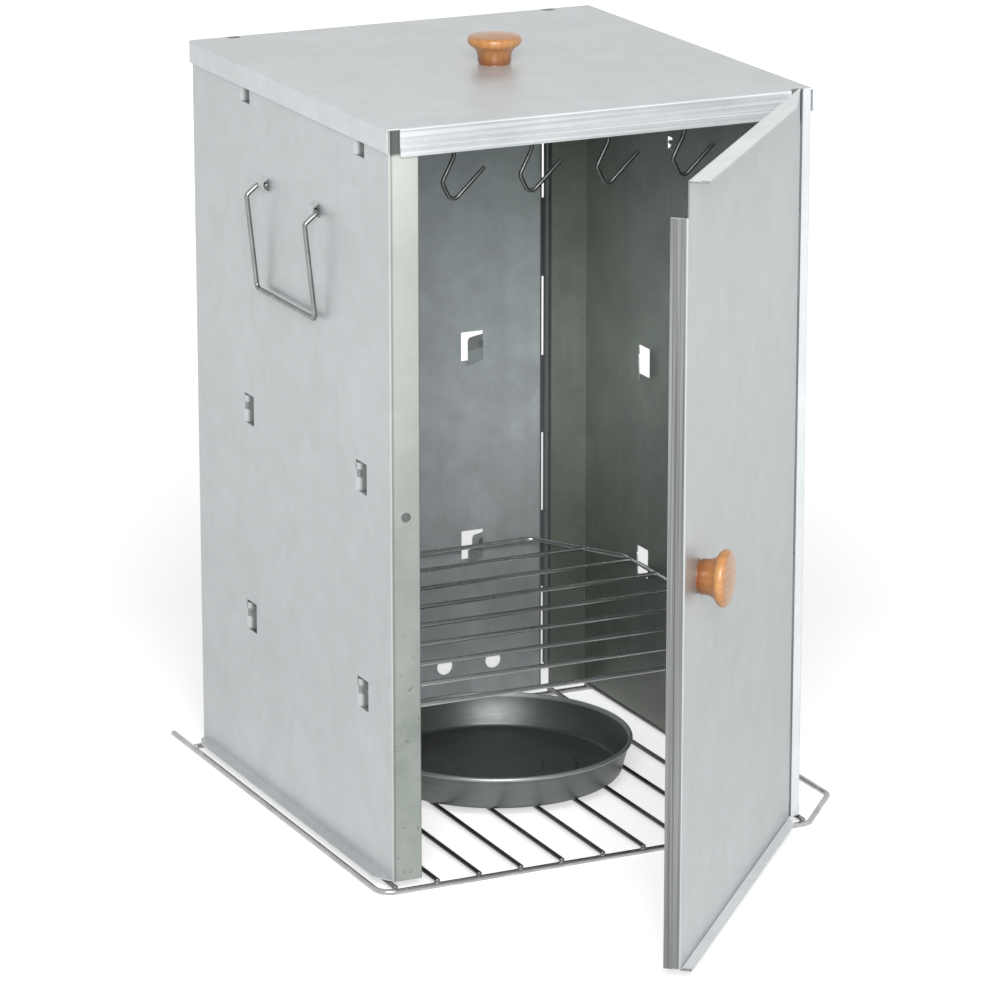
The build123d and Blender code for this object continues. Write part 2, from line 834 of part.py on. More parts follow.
os.makedirs("parts", exist_ok=True)
pieces = {
    "left_wall": left_wall,
    "right_wall": right_wall,
    "back_wall": back_wall,
    "left_hinge_pin": left_hinge_pin,
    "right_hinge_pin": right_hinge_pin,
    "door_hinge_pin": door_hinge_pin,
    "door_panel": door_panel,
    "door_knob": door_knob,
    "door_knob_stud": door_knob_stud,
    "door_knob_nut": door_knob_nut,
    "lid_panel": lid_panel,
    "lid_knob": lid_knob,
    "lid_knob_stud": lid_knob_stud,
    "lid_knob_nut": lid_knob_nut,
    "shelf_frame": shelf_frame,
    "shelf_bars": shelf_bars,
    "front_rod": front_rod,
    "rear_rod": rear_rod,
    "left_handle": left_handle,
    "right_handle": right_handle,
    "rack_ring": rack_ring,
    "rack_bars": rack_bars,
    "drip_pan": drip_pan,
    **hooks,
}
for name, piece in pieces.items():
    piece.part.label = name
    export_step(piece.part, f"parts/{name}.step")
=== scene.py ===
"""Looks for the folding smoker: its sheet metal, turned knobs, bent wires, spun pan and the studio."""

import math

import bmesh
import bpy
from bpy.props import FloatProperty, FloatVectorProperty, PointerProperty
from mathutils import Matrix, Vector


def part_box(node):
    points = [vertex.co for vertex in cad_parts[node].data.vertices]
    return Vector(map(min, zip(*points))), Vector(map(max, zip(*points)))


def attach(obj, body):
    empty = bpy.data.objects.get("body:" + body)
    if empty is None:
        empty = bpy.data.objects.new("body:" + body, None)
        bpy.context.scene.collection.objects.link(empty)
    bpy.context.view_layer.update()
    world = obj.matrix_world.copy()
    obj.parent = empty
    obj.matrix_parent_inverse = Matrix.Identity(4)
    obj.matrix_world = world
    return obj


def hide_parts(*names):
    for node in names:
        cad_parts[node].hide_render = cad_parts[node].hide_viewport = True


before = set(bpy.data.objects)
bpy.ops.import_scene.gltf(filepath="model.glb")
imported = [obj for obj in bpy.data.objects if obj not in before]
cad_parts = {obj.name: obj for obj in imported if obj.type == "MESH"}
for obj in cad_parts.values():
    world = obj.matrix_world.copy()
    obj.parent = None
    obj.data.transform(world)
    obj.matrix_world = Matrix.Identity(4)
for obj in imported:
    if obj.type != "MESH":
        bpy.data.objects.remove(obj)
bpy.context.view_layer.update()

bl_info = {
    "name": "Folding Smoker",
    "version": (1, 0, 0),
    "blender": (4, 5, 0),
    "location": "View3D > Sidebar > Smoker",
    "description": "Dresses a folding sheet-steel smoker and sets up its studio",
    "category": "Object",
}

MM = 0.001
HALF_WIDTH = 137 * MM
HALF_DEPTH = 148 * MM
# X and Y of the left, the right and the door's hinge
HINGE_AXES = ((-0.110, 0.14565), (0.107, 0.14565), (0.127, -0.14955))
HINGE_PINS = ("left_hinge_pin", "right_hinge_pin", "door_hinge_pin")
FASTENERS = ("door_knob_stud", "door_knob_nut", "lid_knob_stud", "lid_knob_nut")
# Where the columns of slots start, along Y on the side walls and along X on the back wall
SIDE_COLUMNS = (-106 * MM, 64 * MM)
BACK_COLUMNS = (-54 * MM, 54 * MM)
RACK_BARS = 11
SHELF_BARS = 7
HOOK_REACH = 20.6 * MM
HOOK_DROP = 41 * MM
# Each wire's or steel's tone against the bright wire, and how much rougher it is
WIRES = {
    "Bright Wire": (1.0, 0.0),
    # The shaded wire's low tone is painted shade on the rods and hooks inside the box
    "Shaded Wire": (0.36, 0.06),
    "Handle Wire": (0.58, 0.0),
    # The rack bars' low tone is a painted reflection of the dark inside of the box
    "Rack Bar Shaded Wire": (0.42, 0.02),
    "Weld Bead": (0.85, 0.10),
    "Hinge Pin Steel": (0.7, 0.11),
    "Zinc Fastener": (0.9, 0.06),
}
WHITE = (1.0, 1.0, 1.0, 1.0)
FLOOR_REACH = 12.0
LAMP_AIM = (0, 0, 0.25)
# Where each lamp stands, and how wide it is
KEY_LAMP = ((-1.25, -2.75, 1.85), 1.5)
FILL_LAMP = ((1.8, -1.6, 1.2), 1.6)
CAMERA_PLACE = (-1.2820, -2.6920, 1.0498)
EFFECTS = {}


# Settings


def millimetres(name, description, value):
    """A length setting, given in millimetres and kept in metres."""
    return FloatProperty(
        name=name, description=description, subtype="DISTANCE", unit="LENGTH", default=value * MM, precision=5
    )


def degrees(name, description, value):
    """An angle setting, given in degrees."""
    return FloatProperty(
        name=name, description=description, subtype="ANGLE", unit="ROTATION", default=math.radians(value)
    )


def watts(name, description, value):
    """A lamp's power."""
    return FloatProperty(name=name, description=description, unit="POWER", min=0, default=value)


def portion(name, description, value):
    """A setting from nought to one."""
    return FloatProperty(name=name, description=description, subtype="FACTOR", min=0, max=1, default=value)


def colour(name, description, value, most=1.0):
    """A colour setting."""
    return FloatVectorProperty(
        name=name, description=description, subtype="COLOR", size=3, min=0, max=most, default=value
    )


class SheetSettings(bpy.types.PropertyGroup):
    """Galvanised sheet of the walls, the door and the lid."""

    zinc: colour("Zinc", "Colour of the zinc coating", (0.575, 0.60, 0.61))
    # Painted light and shade on the inner faces: their tone is raised on most walls, and lowered with a
    # greenish stain on the door's wall
    inner_light: colour("Inner light", "Painted light on the inner faces, as their tone against the outer zinc", (1.25, 1.28, 1.31), 2.0)
    hinge_shade_and_stain: colour("Hinge wall shade and stain", "Painted shade and a greenish stain on the inner faces of the door's wall", (0.47, 0.50, 0.43), 2.0)
    # Painted shade: the dark colour of the hinge barrels
    barrel: colour("Barrel", "Painted shade colour of the hinge barrels", (0.16, 0.17, 0.175))
    spangle_size: millimetres("Spangle", "Width of one zinc crystal", 11.0)
    spangle_contrast: portion("Spangle contrast", "How far the crystals differ in brightness", 0.10)
    roughness: portion("Roughness", "Roughness of the clean zinc", 0.40)
    metallic: portion("Metallic", "How metallic the dull zinc looks", 0.45)
    hinge_reach: millimetres("Hinge shade", "How far the painted shade reaches round a hinge's axis", 4.4)


class WireSettings(bpy.types.PropertyGroup):
    """Bright drawn wire of the rack, shelf, rods, hooks and handles."""

    steel: colour("Wire", "Colour of the bright wire", (0.47, 0.48, 0.475))
    roughness: portion("Roughness", "Roughness of the drawn surface", 0.24)


class WoodSettings(bpy.types.PropertyGroup):
    """Varnished beech of the two knobs."""

    light: colour("Light wood", "Colour between the growth rings", (0.55, 0.24, 0.072))
    dark: colour("Dark wood", "Colour of the growth rings and flecks", (0.29, 0.10, 0.025))


class PanSettings(bpy.types.PropertyGroup):
    """Dark coated drip pan."""

    coating: colour("Coating", "Colour of the pan's coating", (0.105, 0.115, 0.108))
    roughness: portion("Roughness", "Roughness of the coating", 0.42)


class KnobSettings(bpy.types.PropertyGroup):
    """Turned knobs and where the door's knob stands."""

    cap_radius: millimetres("Cap radius", "Radius of the knob's cap", 16.4)
    base_radius: millimetres("Base radius", "Radius of the knob's foot", 10.2)
    height: millimetres("Height", "Height of the knob", 18.55)
    door_axis_x: millimetres("Hinge X", "Place of the door's hinge axis along X", 127.0)
    door_axis_y: millimetres("Hinge Y", "Place of the door's hinge axis along Y", -149.55)
    door_reach: millimetres("Reach", "Distance of the knob from the hinge axis", 234.0)
    door_face: millimetres("Face", "Distance of the door's front face from the axis", 2.35)
    door_knob_z: millimetres("Knob height", "Height of the door's knob over the floor", 231.0)
    door_angle: degrees("Door angle", "How far the door stands open", 48.0)


class BendSettings(bpy.types.PropertyGroup):
    """Sizes of the bent wires."""

    ring_wire: millimetres("Ring wire", "Diameter of the rack's ring wire", 3.5)
    wire: millimetres("Wire", "Diameter of the bars, the shelf, the rods and the handles", 3.0)
    hook_wire: millimetres("Hook wire", "Diameter of the hooks' wire", 2.5)
    corner: millimetres("Corner", "Bend radius of the rack's front corner", 10.0)
    handle_bend: millimetres("Handle bend", "Bend radius of the handles", 3.5)
    weld: millimetres("Weld", "Half width of a spot weld", 1.5)


class TongueSettings(bpy.types.PropertyGroup):
    """Upper parts of the lanced tongues."""

    width: millimetres("Width", "Length of a tongue from its root", 15.5)
    foot: millimetres("Foot", "Height over the slot's sill where the upper part starts", 8.0)
    crest: millimetres("Crest", "Height of the tongue's upper edge over the slot's sill", 16.8)
    sheet: millimetres("Sheet", "Thickness of the sheet", 0.8)
    corner: millimetres("Corner", "Radius of the tongue's free corner", 2.5)
    root_gap: millimetres("Root gap", "Where the upper part starts along the tongue", 0.6)
    angle: degrees("Angle", "How far a tongue is bent inwards", 27.0)
    lower_row: millimetres("Lower row", "Height of the lower slots' sills over the walls' foot", 95.5)
    middle_row: millimetres("Middle row", "Height of the middle slots' sills over the walls' foot", 229.2)
    side_share: portion("Side share", "How much of a lower side tongue rises beside the shelf", 0.45)
    back_share: portion("Back share", "How much of a lower back tongue rises beside the shelf", 0.72)


class StageSettings(bpy.types.PropertyGroup):
    """Floor, lamps and camera."""

    floor_colour: colour("Floor", "Colour of the floor", (0.80, 0.80, 0.80))
    key_power: watts("Key lamp", "Power of the large lamp near the camera", 112.0)
    fill_power: watts("Fill lamp", "Power of the lamp on the right", 4.0)
    sky: portion("Sky", "Strength of the light from all around", 0.16)
    lens: FloatProperty(
        name="Lens", description="Focal length on a 36 mm sensor", subtype="DISTANCE_CAMERA",
        min=1, default=180.4,
    )
    azimuth: degrees("Azimuth", "Camera's turn round the smoker from its front", -25.53)
    elevation: degrees("Elevation", "Camera's height angle", 16.14)


# Shader tools


def new_group(name, inputs, outputs):
    """Start a shader node group with named sockets and return it with its two ends."""
    group = bpy.data.node_groups.new(name, "ShaderNodeTree")
    for socket, default in inputs.items():
        kind = "NodeSocketFloat" if isinstance(default, float) else "NodeSocketColor"
        item = group.interface.new_socket(name=socket, in_out="INPUT", socket_type=kind)
        item.default_value = default
    for socket in outputs:
        kind = "NodeSocketColor" if socket == "Color" else "NodeSocketFloat"
        group.interface.new_socket(name=socket, in_out="OUTPUT", socket_type=kind)
    return group, group.nodes.new("NodeGroupInput"), group.nodes.new("NodeGroupOutput")


def link(tree, *pairs):
    """Link (from socket, to socket) pairs."""
    for source, target in pairs:
        tree.links.new(source, target)


def feed(tree, sockets, values):
    """Link each value that is a socket, and set each that is a number, a vector or a colour."""
    for socket, value in zip(sockets, values):
        if isinstance(value, bpy.types.NodeSocket):
            tree.links.new(value, socket)
        else:
            socket.default_value = value


def math_node(tree, operation, *values):
    """A Math node; each operand is a socket or a number. Returns its output."""
    made = tree.nodes.new("ShaderNodeMath")
    made.operation = operation
    feed(tree, made.inputs, values)
    return made.outputs[0]


def times(tree, first, second):
    """The product of two numbers, each of them a socket or a number."""
    return math_node(tree, "MULTIPLY", first, second)


def vector_node(tree, operation, *values):
    """A Vector Math node; each operand is a socket or a vector. Returns its outputs."""
    made = tree.nodes.new("ShaderNodeVectorMath")
    made.operation = operation
    feed(tree, made.inputs, values)
    return made.outputs


def weighted(tree, first, second, part):
    """The two values mixed, with the second's part."""
    return math_node(tree, "MULTIPLY_ADD", second, part, times(tree, first, 1 - part))


def mix_colour(tree, factor, first, second, blend="MIX"):
    """A colour Mix node; each operand is a socket or a value. Returns its output."""
    made = tree.nodes.new("ShaderNodeMix")
    made.data_type = "RGBA"
    made.blend_type = blend
    feed(tree, (made.inputs[0], made.inputs[6], made.inputs[7]), (factor, first, second))
    return made.outputs[2]


def tinted(tree, base, tone):
    """The base multiplied by a tone."""
    return mix_colour(tree, 1.0, base, tone, "MULTIPLY")


def remap(tree, value, low, high, new_low=0.0, new_high=1.0):
    """A clamped Map Range node. Returns its output."""
    made = tree.nodes.new("ShaderNodeMapRange")
    names = ("Value", "From Min", "From Max", "To Min", "To Max")
    feed(tree, [made.inputs[name] for name in names], (value, low, high, new_low, new_high))
    return made.outputs[0]


def noise(tree, vector, scale, detail=3.0, roughness=0.5, distortion=0.0):
    """A Noise Texture node reading the vector. Returns its value."""
    made = tree.nodes.new("ShaderNodeTexNoise")
    names = ("Vector", "Scale", "Detail", "Roughness", "Distortion")
    feed(tree, [made.inputs[name] for name in names], (vector, scale, detail, roughness, distortion))
    return made.outputs["Fac"]


def stretched(tree, vector, scale):
    """The vector with each of its axes scaled."""
    made = tree.nodes.new("ShaderNodeMapping")
    made.inputs["Scale"].default_value = scale
    tree.links.new(vector, made.inputs["Vector"])
    return made.outputs[0]


def surface(tree):
    """The object's own place and normal on its surface."""
    texture = tree.nodes.new("ShaderNodeTexCoord")
    return texture.outputs["Object"], texture.outputs["Normal"]


def split(tree, vector):
    """The three numbers of a vector."""
    parts = tree.nodes.new("ShaderNodeSeparateXYZ")
    tree.links.new(vector, parts.inputs[0])
    return parts.outputs


def rgba(tone, factor=1.0):
    """A colour setting, scaled, as the four numbers that a socket takes."""
    return (*(channel * factor for channel in tone), 1.0)


def new_material(name):
    """An empty node material with its Principled shader and output."""
    material = bpy.data.materials.new(name)
    material.use_nodes = True
    tree = material.node_tree
    tree.nodes.clear()
    shader = tree.nodes.new("ShaderNodeBsdfPrincipled")
    output = tree.nodes.new("ShaderNodeOutputMaterial")
    tree.links.new(shader.outputs[0], output.inputs["Surface"])
    return material, tree, shader


def place_group(tree, build, **values):
    """Place a shared effect, built on its first use, with this material's values. Returns its outputs."""
    if build not in EFFECTS:
        EFFECTS[build] = build()
    made = tree.nodes.new("ShaderNodeGroup")
    made.node_tree = EFFECTS[build]
    for socket, value in values.items():
        made.inputs[socket].default_value = value
    return made.outputs


def complete(tree, shader, tone, rough, metallic, height, strength, distance):
    """Feed a finish's tone, roughness and fine height to its shader."""
    bump = tree.nodes.new("ShaderNodeBump")
    names = ("Strength", "Distance", "Height")
    feed(tree, [bump.inputs[name] for name in names], (strength, distance, height))
    names = ("Base Color", "Roughness", "Metallic", "Normal")
    feed(tree, [shader.inputs[name] for name in names], (tone, rough, metallic, bump.outputs[0]))


# Shared effects


def spangle_group():
    """Zinc crystals: feathery patches, each at its own brightness, with a fine rolled streak."""
    group, start, end = new_group("Zinc Spangle", {"Size": 0.011, "Contrast": 0.1}, ("Value", "Height"))
    place, _ = surface(group)
    wander = noise(group, place, 160.0, 4.0).node.outputs["Color"]
    shifted = vector_node(group, "MULTIPLY_ADD", wander, (0.008, 0.008, 0.008), place)[0]
    scale = math_node(group, "DIVIDE", 1.0, start.outputs["Size"])
    crystals = []
    for factor in (1.0, 0.43):
        cells = group.nodes.new("ShaderNodeTexVoronoi")
        shade = group.nodes.new("ShaderNodeSeparateColor")
        link(
            group, (shifted, cells.inputs["Vector"]),
            (times(group, scale, factor), cells.inputs["Scale"]),
            (cells.outputs["Color"], shade.inputs[0]),
        )
        crystals.append(shade.outputs[0])
    streak = noise(group, stretched(group, place, (420.0, 420.0, 14.0)), 1.0, 2.0)
    mean = weighted(group, weighted(group, *crystals, 0.5), streak, 0.25)
    centred = math_node(group, "SUBTRACT", mean, 0.5)
    value = math_node(group, "MULTIPLY_ADD", centred, start.outputs["Contrast"], 1.0)
    feed(group, end.inputs, (value, mean))
    return group


def cloud_group():
    """Slow cloudy change over a sheet: handling marks, haze and dull patches."""
    group, start, end = new_group("Handling Haze", {"Scale": 9.0}, ("Haze", "Marks"))
    place, _ = surface(group)
    haze = noise(group, place, start.outputs["Scale"], 5.0, 0.62, 0.6)
    marks = noise(group, stretched(group, place, (26.0, 26.0, 5.0)), 3.0, 6.0, 0.7, 0.8)
    feed(group, end.inputs, (remap(group, haze, 0.3, 0.7), remap(group, marks, 0.56, 0.72)))
    return group


def face_group():
    """Masks for the faces that look inwards, forwards and up, for the low faces and for the outward faces set
    just inside the walls' planes that take painted shade, with the mottles, streaks and specks they carry.
    """
    names = ("Inner", "Front", "Up", "Low", "Recess Shade", "Mottle", "Streak", "Specks")
    group, _, end = new_group("Sheet Faces", {}, names)
    place, facing = surface(group)
    x, y, z = split(group, place)
    across, along, up = split(group, facing)
    level = vector_node(group, "MULTIPLY", place, (1, 1, 0))[0]
    sides = remap(group, vector_node(group, "DOT_PRODUCT", level, facing)["Value"], -0.02, -0.05)
    outer = math_node(group, "SUBTRACT", 1.0, sides)
    under = remap(group, up, -0.4, -0.8)
    ahead = remap(group, along, -0.75, -0.95)
    low = remap(group, z, 0.07, 0.24, 1.0, 0.0)
    specks = remap(group, noise(group, place, 210.0), 0.66, 0.70)
    mottles = noise(group, place, 34.0, 5.0, 0.62, 0.4)
    width, height = 12 * MM, 240 * MM
    streaks = noise(group, stretched(group, place, (1 / width, 1 / width, 1 / height)), 1.0, 3.0, 0.55, 0.2)
    distance = math_node(group, "ABSOLUTE", x)
    behind_side = times(
        group, remap(group, distance, HALF_WIDTH - 2.5 * MM, HALF_WIDTH - 1.2 * MM, 1.0, 0.0),
        remap(group, math_node(group, "ABSOLUTE", across), 0.5, 0.7),
    )
    behind_back = times(
        group, remap(group, y, HALF_DEPTH - 3.0 * MM, HALF_DEPTH - 1.5 * MM, 1.0, 0.0),
        remap(group, along, 0.5, 0.7),
    )
    behind = math_node(group, "MAXIMUM", behind_side, behind_back)
    found = (
        math_node(group, "MAXIMUM", sides, under),
        times(group, ahead, outer),
        remap(group, up, 0.5, 0.9),
        low,
        times(group, behind, outer),
        remap(group, mottles, 0.34, 0.66),
        remap(group, streaks, 0.40, 0.70),
        times(group, specks, low),
    )
    feed(group, end.inputs, found)
    return group


def hinge_shade_group():
    """Painted shade round the hinge barrels, which stand upright on three axes of the housing and the door.
    """
    group, start, end = new_group("Hinge Shade", {"Reach": 0.0044}, ("Mask",))
    place, _ = surface(group)
    mask = 0.0
    for x, y in HINGE_AXES:
        away = vector_node(group, "MULTIPLY_ADD", place, (1, 1, 0), (-x, -y, 0))[0]
        length = vector_node(group, "LENGTH", away)["Value"]
        near = math_node(group, "LESS_THAN", length, start.outputs["Reach"])
        mask = math_node(group, "MAXIMUM", mask, near)
    feed(group, end.inputs, (mask,))
    return group


def drawn_group():
    """Fine die lines and dull spots of drawn wire and turned steel."""
    group, _, end = new_group("Drawn Steel", {}, ("Tone", "Height"))
    place, _ = surface(group)
    fine = noise(group, place, 1400.0, 3.0, 0.6)
    tone = weighted(group, fine, noise(group, place, 90.0, 4.0, 0.6), 0.65)
    feed(group, end.inputs, (remap(group, tone, 0.35, 0.65), fine))
    return group


def grain_group():
    """Beech: growth rings across the turning axis, short dark flecks and slow colour drift."""
    group, start, end = new_group("Beech Grain", {"Light": WHITE, "Dark": WHITE}, ("Color", "Fleck"))
    light, dark = start.outputs["Light"], start.outputs["Dark"]
    place, _ = surface(group)
    rings = group.nodes.new("ShaderNodeTexWave")
    rings.wave_type = "BANDS"
    rings.bands_direction = "X"
    for socket, value in (("Scale", 75.0), ("Distortion", 5.0), ("Detail", 3.0), ("Detail Scale", 0.6)):
        rings.inputs[socket].default_value = value
    link(group, (stretched(group, place, (1.0, 0.35, 0.25)), rings.inputs["Vector"]))
    flecks = noise(group, stretched(group, place, (900.0, 900.0, 160.0)), 1.0, 3.0, 0.6)
    flecks = remap(group, flecks, 0.60, 0.70)
    drift = remap(group, noise(group, place, 45.0, 2.0), 0.35, 0.65, 0.0, 0.18)
    ringed = mix_colour(group, times(group, rings.outputs["Fac"], 0.28), light, dark)
    flecked = mix_colour(group, times(group, flecks, 0.55), ringed, dark)
    drifted = mix_colour(group, drift, flecked, (0.86, 0.56, 0.28, 1.0))
    feed(group, end.inputs, (drifted, flecks))
    return group


# Finishes


def inner_stain_and_light(tree, faces, base, tint):
    """The base of the inner faces: mottled smoky stains and streaks, the tint's level as painted light and
    shade, and darker towards the bottom.
    """
    dark, pale = rgba(tint, 0.86), rgba(tint, 1.10)
    mottled = mix_colour(tree, faces["Mottle"], dark, pale)
    streaked = mix_colour(tree, times(tree, faces["Streak"], 0.5), mottled, dark)
    stained_and_lit = tinted(tree, base, streaked)
    # Darker towards the bottom
    darker_low = tinted(tree, stained_and_lit, (0.42, 0.41, 0.40, 1.0))
    return mix_colour(tree, times(tree, faces["Low"], 0.8), stained_and_lit, darker_low)


def post_wear_and_shade(tree, faces, base):
    """The base of the front post: greener and duller towards its foot, with dark specks, painted shade along
    its folded edge and a painted shadow behind the lid's corner.
    """
    x, _, z = split(tree, surface(tree)[0])
    pale = tinted(tree, base, (1.22, 1.22, 1.12, 1.0))
    dull = tinted(tree, base, (0.55, 0.585, 0.53, 1.0))
    splashed = mix_colour(tree, times(tree, faces["Mottle"], 0.22), dull, pale)
    greener_low = mix_colour(tree, remap(tree, z, 0.10, 0.46, 1.0, 0.0), pale, splashed)
    specks = times(tree, faces["Specks"], 0.7)
    specked = mix_colour(tree, specks, greener_low, (0.10, 0.11, 0.10, 1.0))
    # Painted shade: a dark line along the post's folded edge
    fold = remap(tree, x, 1.5 * MM - HALF_WIDTH, 2.5 * MM - HALF_WIDTH, 0.6, 0.0)
    fold_shaded = mix_colour(tree, fold, specked, (0.16, 0.17, 0.15, 1.0))
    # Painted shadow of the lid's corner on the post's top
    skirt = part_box("lid_panel")[0].z
    lid_shadow = remap(tree, z, skirt, skirt + 2 * MM, 0.0, 0.85)
    return mix_colour(tree, lid_shadow, fold_shaded, (0.035, 0.042, 0.038, 1.0))


def rolled_streaks_and_sheen(tree, faces, base):
    """The base of a rolled lip: fine level streaks along it, lighter overall as a painted sheen."""
    lines = noise(tree, stretched(tree, surface(tree)[0], (5.0, 5.0, 700.0)), 1.0, 3.0, 0.6)
    # Painted sheen: the streaks mostly lighten the lip
    dull, bright = (0.98, 0.98, 0.98, 1.0), (1.36, 1.35, 1.34, 1.0)
    return tinted(tree, base, mix_colour(tree, remap(tree, lines, 0.35, 0.65), dull, bright))


def folded_edge(tree, base, direction):
    """The base made much darker, with fine upright streaks, on the faces that look in the direction."""
    place, facing = surface(tree)
    towards = vector_node(tree, "DOT_PRODUCT", facing, direction)["Value"]
    brushed = noise(tree, stretched(tree, place, (1100.0, 1100.0, 5.0)), 1.0)
    dark, bright = (0.12, 0.125, 0.125, 1.0), (0.29, 0.30, 0.295, 1.0)
    shade = mix_colour(tree, remap(tree, brushed, 0.35, 0.65), dark, bright)
    return mix_colour(tree, remap(tree, towards, 0.96, 0.99), base, shade)


def sheet_finish(name, shade=1.0, tint=None, front=None, rim=None, shade_recesses=True):
    """Galvanised sheet: dull zinc with spangle, haze, handling marks and a slight waviness; its tone factor,
    inner tint, set-back faces, hinge barrels and, on the door, upward faces carry painted light and shade.
    """
    settings = bpy.context.scene.smoker_sheet
    material, tree, shader = new_material(name)
    size, contrast = settings.spangle_size, settings.spangle_contrast
    crystals = place_group(tree, spangle_group, Size=size, Contrast=contrast)
    haze, marks = place_group(tree, cloud_group, Scale=9.0)
    faces = place_group(tree, face_group)
    barrels = place_group(tree, hinge_shade_group, Reach=settings.hinge_reach)
    tone = times(tree, crystals["Value"], remap(tree, haze, 0, 1, 0.93, 1.05))
    base = tinted(tree, rgba(settings.zinc, shade), tone)
    base = mix_colour(tree, times(tree, marks, 0.16), base, (0.50, 0.54, 0.52, 1.0))
    # Forward faces take the front's marks, which hold painted shade on the post and a painted sheen on the
    # lid's lip
    if front:
        base = mix_colour(tree, faces["Front"], base, front(tree, faces, base))
    # Inner faces take mottled stains, with the tint setting their painted light and shade
    if tint:
        base = mix_colour(tree, faces["Inner"], base, inner_stain_and_light(tree, faces, base, tint))
    # Painted shade on outward faces set just inside the walls' planes, as in the tongues' slots
    if shade_recesses:
        base = mix_colour(tree, faces["Recess Shade"], base, tinted(tree, base, (0.26, 0.27, 0.26, 1.0)))
    if rim:
        # Painted highlight on the door's upward faces
        lit = tinted(tree, base, (1.6, 1.6, 1.58, 1.0))
        base = folded_edge(tree, mix_colour(tree, faces["Up"], base, lit), rim)
    # Painted shade on the hinge barrels
    base = mix_colour(tree, barrels["Mask"], base, rgba(settings.barrel))
    rough = remap(tree, haze, 0, 1, settings.roughness - 0.05, settings.roughness + 0.07)
    rough = math_node(tree, "MULTIPLY_ADD", marks, 0.08, rough)
    wave = times(tree, noise(tree, surface(tree)[0], 7.0, 1.0, 0.4), 6.0)
    height = math_node(tree, "MULTIPLY_ADD", crystals["Height"], 0.05, wave)
    complete(tree, shader, base, rough, settings.metallic, height, 0.35, 0.6 * MM)
    return material


def wire_finish(name):
    """Drawn wire or turned steel with die lines and dull spots, made on its first use."""
    if name in bpy.data.materials:
        return bpy.data.materials[name]
    settings = bpy.context.scene.smoker_wire
    shade, extra = WIRES[name]
    material, tree, shader = new_material(name)
    steel = place_group(tree, drawn_group)
    base = mix_colour(tree, steel["Tone"], rgba(settings.steel, shade * 0.72), rgba(settings.steel, shade))
    polished = settings.roughness + extra
    rough = remap(tree, steel["Tone"], 0, 1, polished + 0.12, polished)
    complete(tree, shader, base, rough, 1.0, steel["Height"], 0.15, 0.1 * MM)
    return material


def wood_finish():
    """Varnished beech, with painted shade darkening the knob's neck."""
    settings = bpy.context.scene.smoker_wood
    material, tree, shader = new_material("Varnished Beech")
    beech = place_group(tree, grain_group, Light=rgba(settings.light), Dark=rgba(settings.dark))
    # Painted shade round the knob's neck
    neck = remap(tree, split(tree, surface(tree)[0])["Z"], 3 * MM, 13 * MM, 1.0, 0.0)
    neck_shaded = tinted(tree, beech["Color"], (0.48, 0.36, 0.26, 1.0))
    base = mix_colour(tree, neck, beech["Color"], neck_shaded)
    rough = remap(tree, beech["Fleck"], 0, 1, 0.36, 0.48)
    shader.inputs["Coat Weight"].default_value = 0.35
    shader.inputs["Coat Roughness"].default_value = 0.14
    complete(tree, shader, base, rough, 0.0, beech["Fleck"], 0.12, 0.1 * MM)
    return material


def pan_finish(foot):
    """Dark coating with a soft sheen, with painted light on the standing wall and a painted highlight along
    the rolled rim.
    """
    settings = bpy.context.scene.smoker_pan
    material, tree, shader = new_material("Pan Coating")
    haze = place_group(tree, cloud_group, Scale=26.0)["Haze"]
    place, facing = surface(tree)
    upright = remap(tree, math_node(tree, "ABSOLUTE", split(tree, facing)["Z"]), 0.30, 0.60, 1.0, 0.0)
    rolled = remap(tree, split(tree, place)["Z"], foot + 19.6 * MM, foot + 20.8 * MM)
    # The wall's 1.7 is painted light on the upright faces, and the rim's 3.6 a painted highlight
    base, wall, rim_highlight = (rgba(settings.coating, factor) for factor in (1.0, 1.7, 3.6))
    lines = noise(tree, stretched(tree, place, (60.0, 60.0, 1400.0)), 1.0)
    streaked = times(tree, upright, remap(tree, lines, 0.35, 0.65, 0.6, 1.0))
    tone = mix_colour(tree, rolled, mix_colour(tree, streaked, base, wall), rim_highlight)
    rough = remap(tree, haze, 0, 1, settings.roughness - 0.06, settings.roughness + 0.06)
    complete(tree, shader, tone, rough, 0.65, noise(tree, place, 900.0), 0.10, 0.2 * MM)
    return material


# Shapes


def arc_points(first, middle, last, count):
    """Points along the arc through three points of a plane."""
    (ax, ay), (bx, by), (cx, cy) = first, middle, last
    turn = 2 * (ax * (by - cy) + bx * (cy - ay) + cx * (ay - by))
    a2, b2, c2 = ax * ax + ay * ay, bx * bx + by * by, cx * cx + cy * cy
    x = (a2 * (by - cy) + b2 * (cy - ay) + c2 * (ay - by)) / turn
    y = (a2 * (cx - bx) + b2 * (ax - cx) + c2 * (bx - ax)) / turn
    radius = math.hypot(ax - x, ay - y)
    start = math.atan2(ay - y, ax - x)
    via = (math.atan2(by - y, bx - x) - start) % math.tau
    sweep = (math.atan2(cy - y, cx - x) - start) % math.tau
    if via > sweep:
        sweep -= math.tau
    angles = [start + sweep * step / count for step in range(count + 1)]
    return [(x + radius * math.cos(angle), y + radius * math.sin(angle)) for angle in angles]


